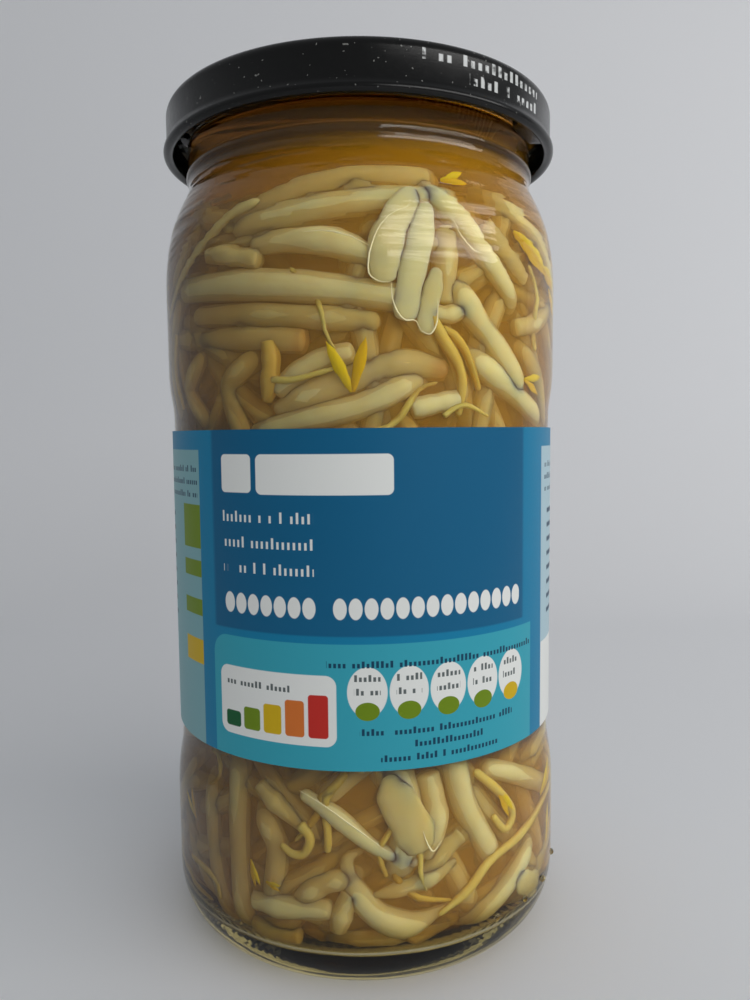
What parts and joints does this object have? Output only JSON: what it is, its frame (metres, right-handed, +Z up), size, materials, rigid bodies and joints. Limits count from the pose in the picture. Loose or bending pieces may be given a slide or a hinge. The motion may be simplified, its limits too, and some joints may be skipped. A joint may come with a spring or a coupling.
{
  "type": "jar of bean sprouts",
  "caption": "Round glass jar of pale bean sprouts in brine, with a black twist-off lid that unscrews and a blue paper wrap label.",
  "frame": {"origin": "middle of the base, on the surface that the jar stands on", "axes": "+Z up along the jar's axis towards the lid, -Y towards the front of the label"},
  "size_m": [0.0676, 0.0676, 0.1375],
  "materials": {
    "jar_glass": "clear flint glass with a faint green edge",
    "lid_enamel": "black satin enamel on tinplate",
    "seal_plastisol": "off-white moulded sealing compound",
    "label_paper": "coated paper printed in blues",
    "brine": "clear amber liquid",
    "sprouts": "wet, pale, slightly see-through flesh"
  },
  "bodies": {
    "jar": {"glass_jar": "jar_glass", "label": "label_paper", "brine": "brine", "sprouts_upper": "sprouts", "sprouts_middle": "sprouts", "sprouts_lower": "sprouts"},
    "seal": {"lid_seal": "seal_plastisol"},
    "lid": {"lid_shell": "lid_enamel"}
  },
  "joints": [
    {"name": "lid_rise", "type": "slide", "parent": "jar", "child": "seal", "axis": [0, 0, 1], "range_m": [0, 0.0018]},
    {"name": "lid_turn", "type": "hinge", "parent": "seal", "child": "lid", "pos_m": [0, 0, 0.13], "axis": [0, 0, 1], "range_deg": [0, 65]}
  ],
  "couplings": [
    {"joint": "lid_turn", "follows": "lid_rise", "rad_per_m": 625}
  ]
}
